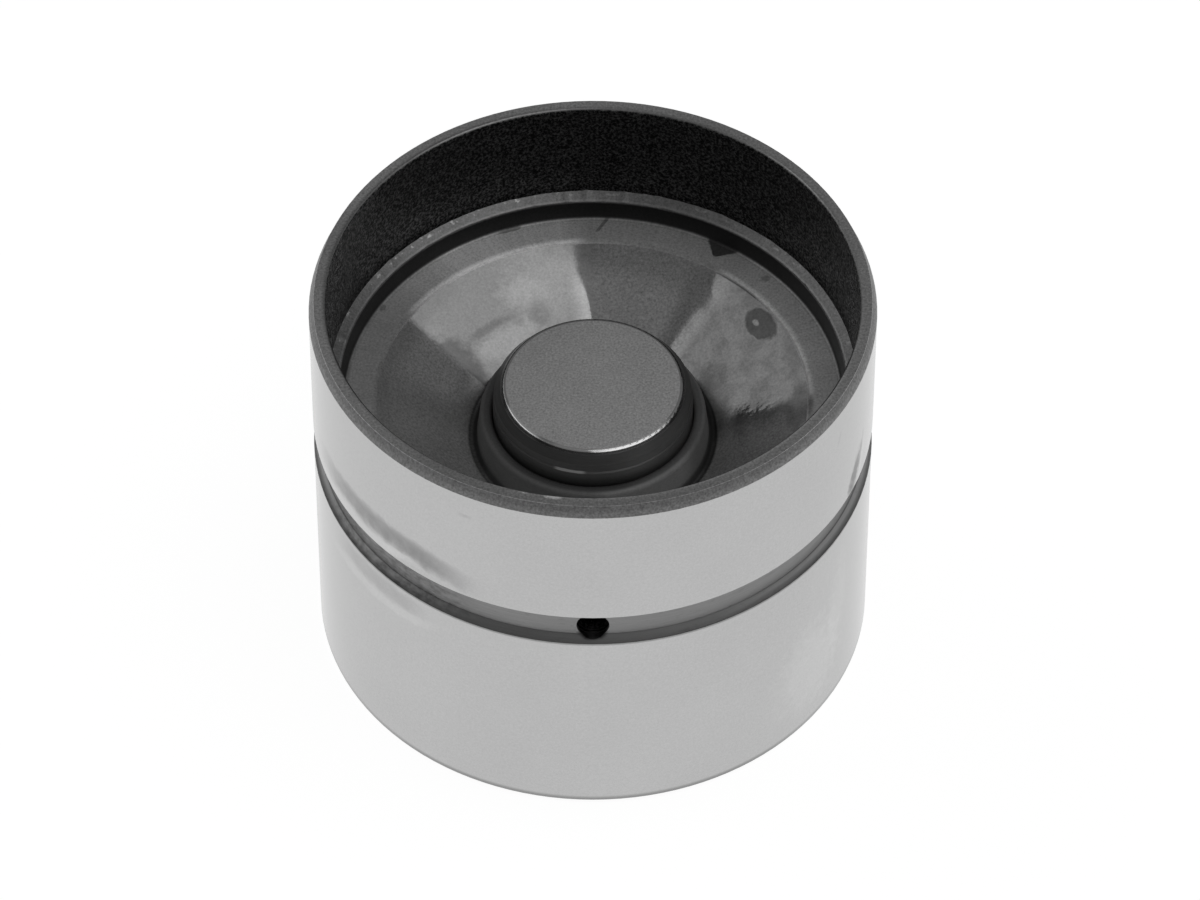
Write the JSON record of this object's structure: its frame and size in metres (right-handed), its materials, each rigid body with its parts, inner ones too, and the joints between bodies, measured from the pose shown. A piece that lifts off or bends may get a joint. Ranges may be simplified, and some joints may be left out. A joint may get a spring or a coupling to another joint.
{
  "type": "hydraulic bucket valve lifter",
  "caption": "Hydraulic bucket valve lifter: ground steel cup with an oil groove and feed hole, a drawn guide insert inside, and a spring-loaded plunger with a ball check valve.",
  "frame": {"origin": "middle of the cam face, which the lifter stands on", "axes": "+Z along the lifter's axis from the cam face to the open end, -Y towards the oil feed hole"},
  "size_m": [0.033, 0.033, 0.026],
  "materials": {
    "ground_steel": "fine ground outside, dark and grainy inside",
    "drawn_steel": "drawn sheet, smooth, with an oily film",
    "hardened_steel": "matt face, ground sides",
    "spring_steel": "drawn wire",
    "ball_steel": "polished"
  },
  "bodies": {
    "shell": {"bucket": "ground_steel", "guide_insert": "drawn_steel", "piston": "hardened_steel", "valve_cage": "drawn_steel", "ball_spring": "spring_steel", "return_spring": "spring_steel"},
    "plunger": {"plunger": "hardened_steel", "retaining_ring": "spring_steel"},
    "check_ball": {"check_ball": "ball_steel"}
  },
  "joints": [
    {"name": "plunger_slide", "type": "slide", "parent": "shell", "child": "plunger", "axis": [0, 0, 1], "range_m": [-0.0024, 0], "stiffness_N_per_m": 200, "springref_m": 0.0015, "deforming": ["return_spring"]},
    {"name": "check_ball_lift", "type": "slide", "parent": "shell", "child": "check_ball", "axis": [0, 0, 1], "range_m": [0, 0.0003], "stiffness_N_per_m": 5, "springref_m": -0.0004, "deforming": ["ball_spring"]}
  ]
}
